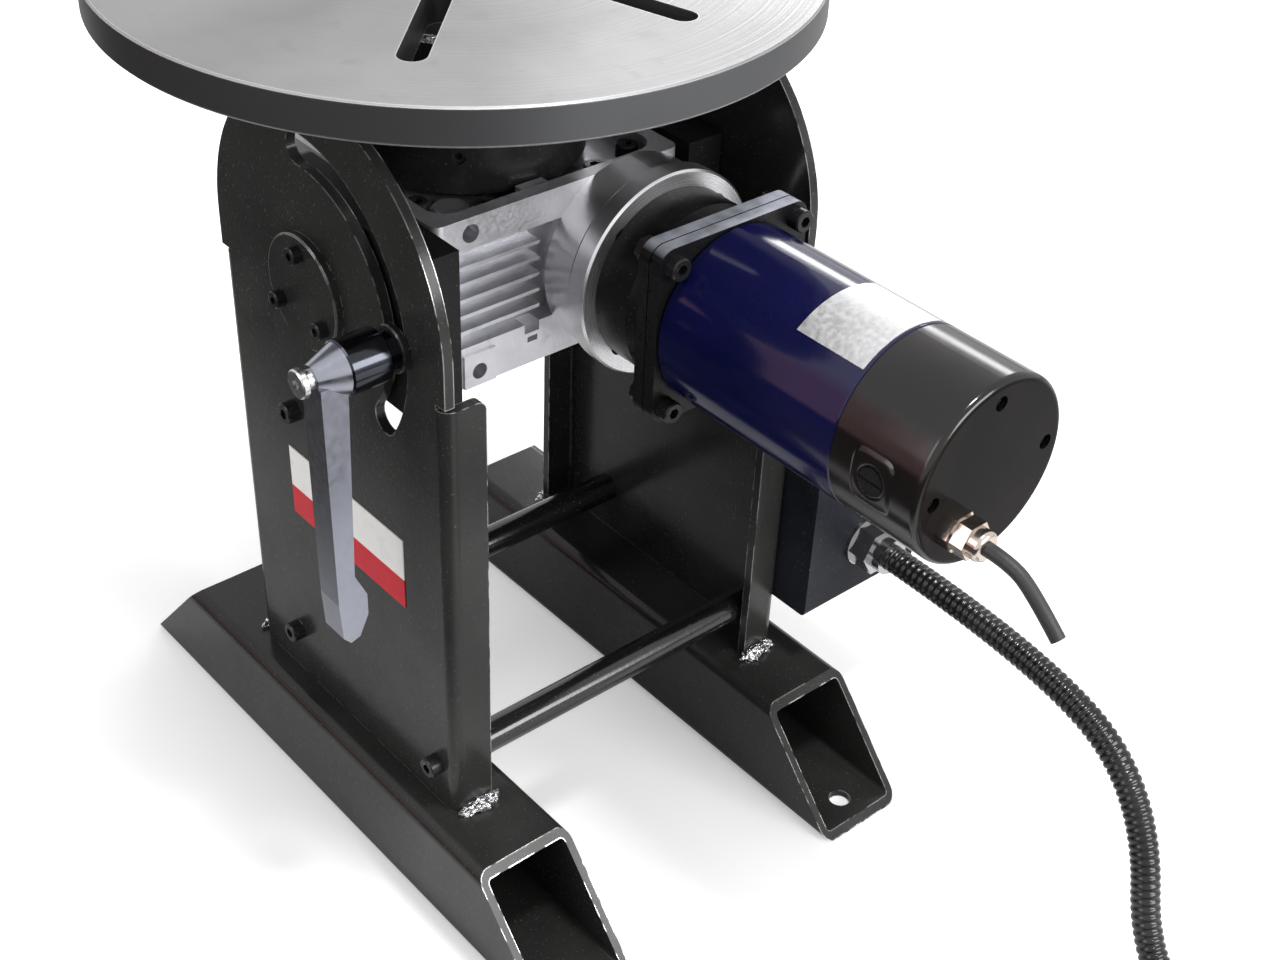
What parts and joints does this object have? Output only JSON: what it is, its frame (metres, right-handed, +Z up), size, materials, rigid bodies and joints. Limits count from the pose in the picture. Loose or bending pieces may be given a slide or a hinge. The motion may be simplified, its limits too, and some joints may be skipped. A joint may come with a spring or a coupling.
{
  "type": "welding positioner",
  "caption": "Floor-standing welding positioner: slotted turntable on a worm gearbox, tilting in a plate stand on raked tube feet, with lock lever, motor and control box.",
  "frame": {"origin": "on the floor, at the middle of the four foot bolt holes", "axes": "+X along the tilt axis towards the control box, -Y towards the motor end, +Z up"},
  "size_m": [0.4369, 0.9057, 0.525],
  "materials": {
    "black_paint": "glossy black paint",
    "weld_steel": "bright rippled weld",
    "black_screws": "black oxide",
    "motor_dark": "satin black paint",
    "motor_navy": "glossy dark blue paint",
    "ground_steel": "ground steel",
    "bright_steel": "bright machined steel",
    "bronze": "plain bronze",
    "cast_aluminium": "blasted casting",
    "machined_aluminium": "bright turned aluminium",
    "label_film": "printed film, left blank",
    "label_foil": "blank foil label",
    "box_grey": "satin grey paint",
    "nickel": "nickel plated",
    "conduit_black": "corrugated plastic",
    "cable_black": "cable sheath",
    "black_plastic": "moulded plastic",
    "seal_rubber": "shaft seal"
  },
  "bodies": {
    "stand": {"left_foot_tube": "black_paint", "right_foot_tube": "black_paint", "left_side_plate": "black_paint", "right_side_plate": "black_paint", "weld_beads": "weld_steel", "tie_rods": "black_paint", "tie_rod_bolts": "black_screws", "pivot_covers": "black_paint", "pivot_cover_screws": "black_screws", "pivot_bushes": "bronze", "stop_screw": "black_screws", "side_label": "label_film", "control_box_body": "box_grey", "control_box_lid": "box_grey", "control_box_screws": "black_screws", "conduit_fitting": "nickel", "conduit": "conduit_black", "conduit_coil": "conduit_black", "conduit_connector": "nickel"},
    "cradle": {"left_cradle_arm": "black_paint", "right_cradle_arm": "black_paint", "left_arm_spacer": "black_paint", "right_arm_spacer": "black_paint", "cradle_arm_bolts": "black_screws", "trunnions": "bright_steel", "lock_stud": "bright_steel", "gearbox_housing": "cast_aluminium", "deck_screws": "black_screws", "gearbox_bearings": "bright_steel", "output_seals": "seal_rubber", "worm_end_cap": "cast_aluminium", "oil_plug": "black_plastic", "input_flange": "machined_aluminium", "input_flange_screws": "bright_steel", "motor_adapter": "motor_dark", "motor_plate": "motor_dark", "motor_plate_screws": "black_screws", "motor_body": "motor_navy", "motor_rear_cover": "motor_dark", "motor_end_screws": "black_screws", "brush_caps": "black_plastic", "motor_label": "label_foil", "cable_gland": "nickel", "motor_cable": "cable_black"},
    "turntable": {"table_plate": "ground_steel", "table_drum": "black_paint", "drum_weld": "weld_steel", "drum_set_screw": "black_screws", "output_shaft": "bright_steel", "shaft_keys": "bright_steel", "retaining_washer": "bright_steel", "retaining_screw": "black_screws", "worm_wheel": "bronze"},
    "worm": {"worm_shaft": "bright_steel", "motor_coupling": "bright_steel", "motor_shaft": "bright_steel"},
    "lock_lever": {"lever_washer": "black_screws", "lever_hub": "black_paint", "lever_arm": "black_paint", "lever_end_screw": "bright_steel"}
  },
  "joints": [
    {"name": "tilt", "type": "hinge", "parent": "stand", "child": "cradle", "pos_m": [0, 0.0065, 0.376], "axis": [-1, 0, 0], "range_deg": [-40, 90]},
    {"name": "table_turn", "type": "hinge", "parent": "cradle", "child": "turntable", "pos_m": [0, 0.0437, 0.525], "axis": [0, 0, 1], "continuous": true},
    {"name": "worm_turn", "type": "hinge", "parent": "cradle", "child": "worm", "pos_m": [0.0485, 0.0437, 0.3665], "axis": [0, 1, 0], "continuous": true},
    {"name": "lever_turn", "type": "hinge", "parent": "cradle", "child": "lock_lever", "pos_m": [-0.15, -0.0756, 0.38174], "axis": [1, 0, 0], "range_deg": [-60, 60]}
  ],
  "couplings": [
    {"joint": "worm_turn", "follows": "table_turn", "ratio": 60}
  ]
}
